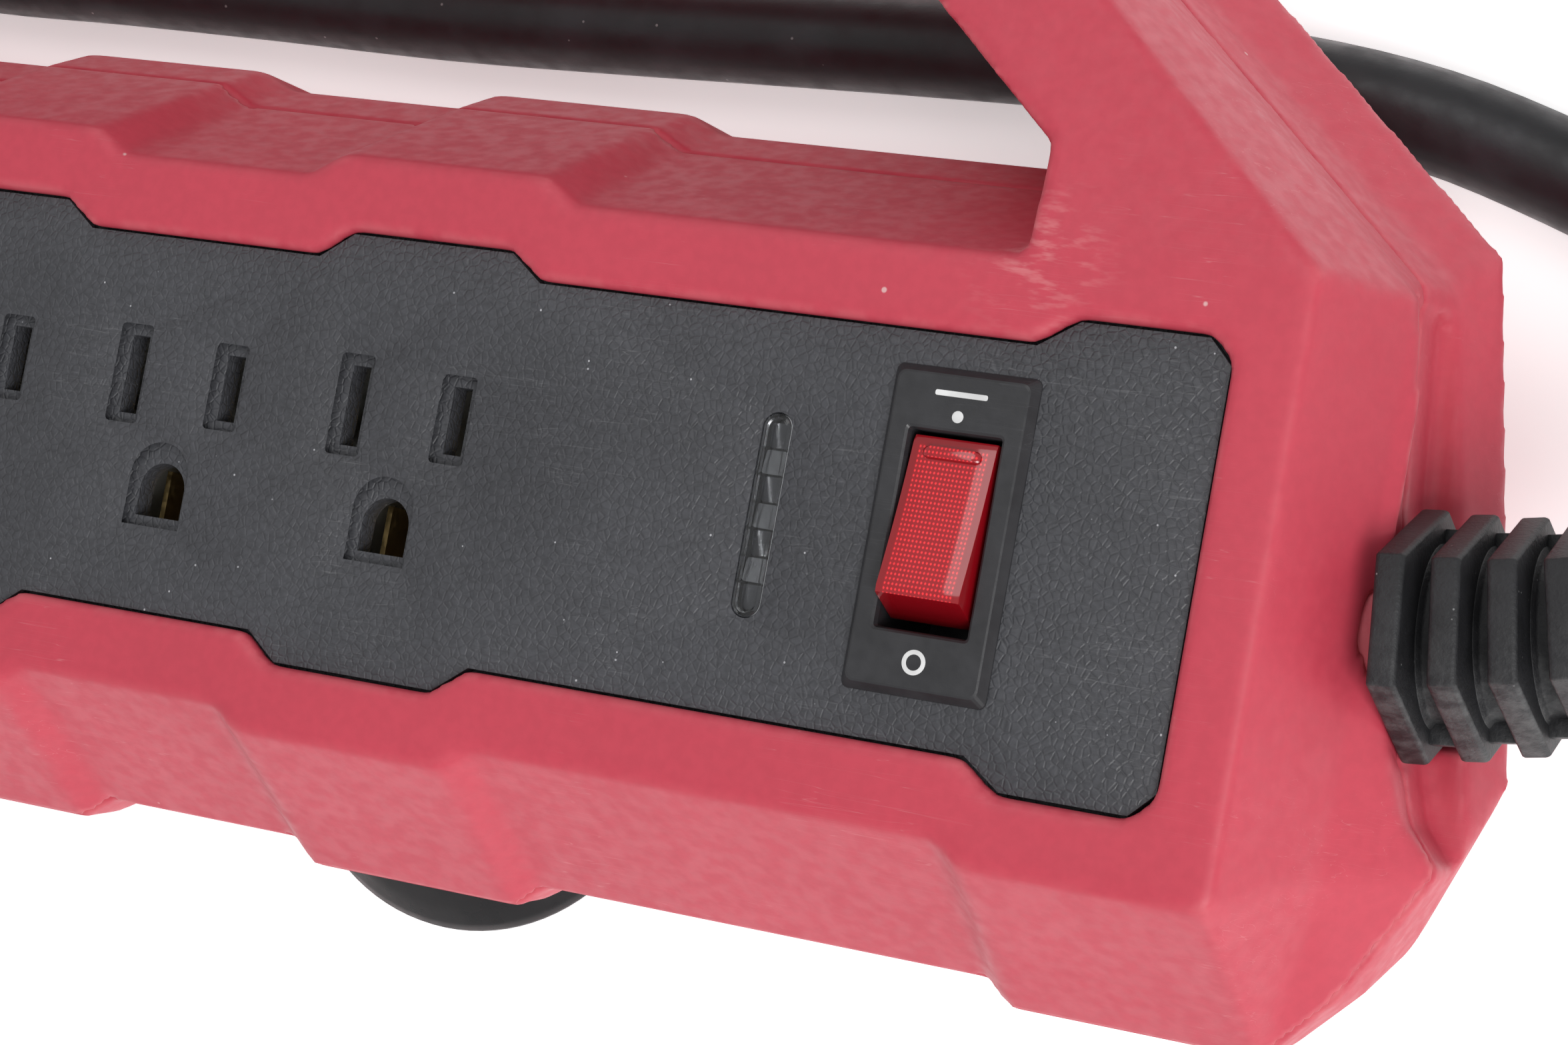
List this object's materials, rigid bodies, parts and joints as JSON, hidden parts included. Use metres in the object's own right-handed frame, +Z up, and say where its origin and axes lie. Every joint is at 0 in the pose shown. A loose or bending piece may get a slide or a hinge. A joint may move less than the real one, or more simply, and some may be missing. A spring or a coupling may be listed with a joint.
{
  "type": "power strip with surge protection",
  "caption": "Rugged surge protector power strip with a trapezoid carry handle, ribbed housing, face plate of outlets, lit reset rocker, suction feet and a thick mains lead.",
  "frame": {"origin": "on the surface that the strip lies on, under the middle of its housing", "axes": "+X along the strip towards the cord end, +Y towards the carry handle, +Z up out of the face plate"},
  "size_m": [0.6325, 0.1924, 0.068],
  "materials": {
    "red_shell": "fine satin moulded polypropylene, red",
    "face_black": "fine leather-grain moulded plastic, charcoal",
    "switch_black": "satin moulded plastic, black",
    "tray_plastic": "natural white flame-retardant plastic",
    "rocker_red": "translucent red with an inner prism grid",
    "lamp_glass": "clear neon lamp",
    "lens_clear": "clear moulded window",
    "led_clear": "clear indicator lamp",
    "contact_brass": "bright stamped brass",
    "board_green": "green circuit board",
    "varistor_blue": "blue epoxy dip",
    "fuse_white": "white ceramic",
    "capacitor_yellow": "yellow boxed film capacitor",
    "screw_steel": "zinc plated",
    "relief_rubber": "textured black soft plastic",
    "cup_rubber": "smooth black soft rubber",
    "cord_rubber": "satin black jacket",
    "lead_black": "black insulated wire",
    "lead_white": "white insulated wire",
    "lead_green": "green insulated wire",
    "tie_black": "woven hook and loop strap",
    "plug_rubber": "satin black moulded plug",
    "plug_brass": "bright plated brass"
  },
  "bodies": {
    "housing": {"front_shell": "red_shell", "rear_shell": "red_shell", "face_plate": "face_black", "contact_tray": "tray_plastic", "hot_bar": "contact_brass", "neutral_bar": "contact_brass", "ground_bar": "contact_brass", "switch_housing": "switch_black", "switch_contact": "contact_brass", "switch_terminals": "contact_brass", "indicator_lens": "lens_clear", "indicator_led": "led_clear", "surge_board": "board_green", "varistors": "varistor_blue", "thermal_fuse": "fuse_white", "filter_capacitor": "capacitor_yellow", "board_screws": "screw_steel", "strain_relief": "relief_rubber", "cord_clamp": "switch_black", "clamp_screws": "screw_steel", "cord_jacket": "cord_rubber", "hot_lead": "lead_black", "switched_lead": "lead_black", "neutral_lead": "lead_white", "ground_lead": "lead_green", "shell_screws": "screw_steel", "suction_cup_1": "cup_rubber", "suction_cup_2": "cup_rubber", "suction_cup_3": "cup_rubber", "suction_cup_4": "cup_rubber", "cord": "cord_rubber", "cord_coil": "cord_rubber", "cord_tail": "cord_rubber", "cord_tie": "tie_black", "plug_body": "plug_rubber", "plug_blades": "plug_brass", "plug_ground_pin": "plug_brass"},
    "rocker_body": {"rocker": "rocker_red", "rocker_lamp": "lamp_glass"}
  },
  "joints": [
    {"name": "rocker_turn", "type": "hinge", "parent": "housing", "child": "rocker_body", "pos_m": [0.1101, -0.02725, 0.059], "axis": [1, 0, 0], "range_deg": [0, 22]}
  ]
}
